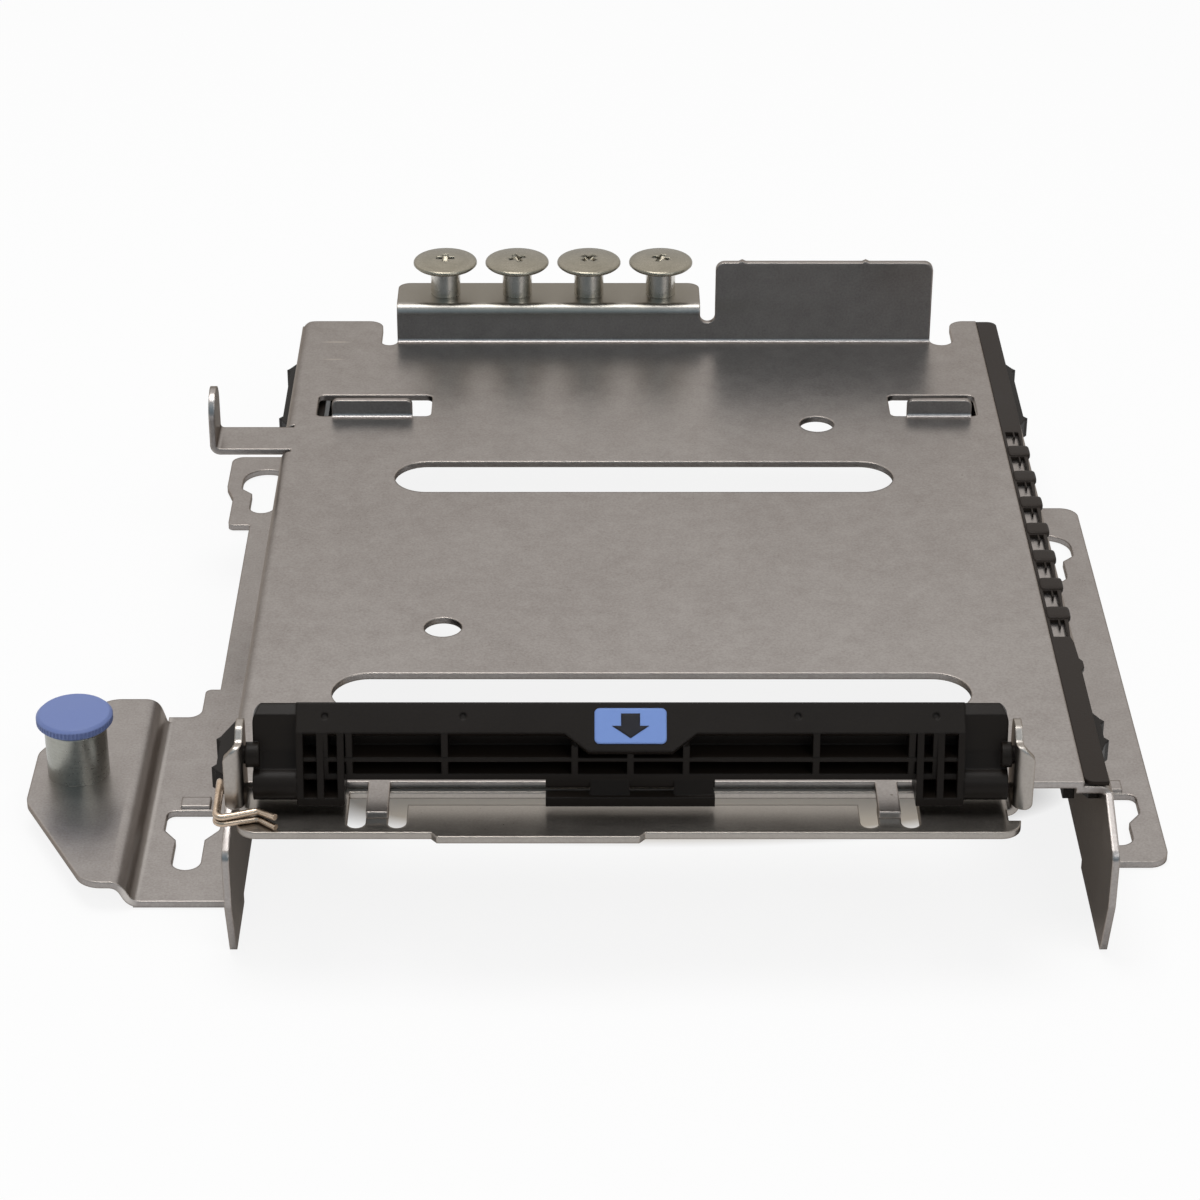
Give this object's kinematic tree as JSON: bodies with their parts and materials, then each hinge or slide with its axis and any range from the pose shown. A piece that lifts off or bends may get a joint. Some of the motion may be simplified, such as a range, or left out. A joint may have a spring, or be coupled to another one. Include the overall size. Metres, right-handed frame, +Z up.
{
  "type": "hard drive caddy",
  "caption": "Folded sheet-steel drive caddy with keyholed side flanges, stored shoulder screws, guide rails, a sprung front latch bar and a pull-up spring plunger.",
  "frame": {"origin": "middle of the outline, on the plane that the flanges stand on", "axes": "+Z up out of the deck, -Y towards the latch, +X to the right as seen from the latch"},
  "size_m": [0.1622, 0.1594, 0.0377],
  "materials": {
    "zinc_steel": "satin zinc-plated sheet",
    "black_plastic": "semi-matt moulded",
    "screw_steel": "bright zinc",
    "plunger_steel": "turned steel",
    "cap_plastic": "satin blue",
    "label_film": "printed film",
    "label_ink": "printed",
    "spring_wire": "bright drawn wire"
  },
  "bodies": {
    "tray": {"tray_sheet": "zinc_steel", "latch_bracket": "zinc_steel", "left_guide_rail": "black_plastic", "right_guide_rail": "black_plastic", "edge_guard": "black_plastic", "shoulder_screw_1": "screw_steel", "shoulder_screw_2": "screw_steel", "shoulder_screw_3": "screw_steel", "shoulder_screw_4": "screw_steel", "latch_spring": "spring_wire", "plunger_barrel": "plunger_steel", "plunger_bush": "plunger_steel", "plunger_spring": "spring_wire"},
    "latch": {"latch_bar": "black_plastic", "latch_label": "label_film", "latch_arrow": "label_ink"},
    "plunger": {"plunger_pin": "plunger_steel", "plunger_cap": "cap_plastic"}
  },
  "joints": [
    {"name": "latch_hinge", "type": "hinge", "parent": "tray", "child": "latch", "pos_m": [0.0047, -0.07153, 0.0296], "axis": [1, 0, 0], "range_deg": [0, 20], "stiffness_Nm_per_rad": 0.02, "springref_deg": -5.73},
    {"name": "plunger_slide", "type": "slide", "parent": "tray", "child": "plunger", "axis": [0, 0, 1], "range_m": [0, 0.0027], "stiffness_N_per_m": 200, "springref_m": -0.001, "deforming": ["plunger_spring"]}
  ]
}
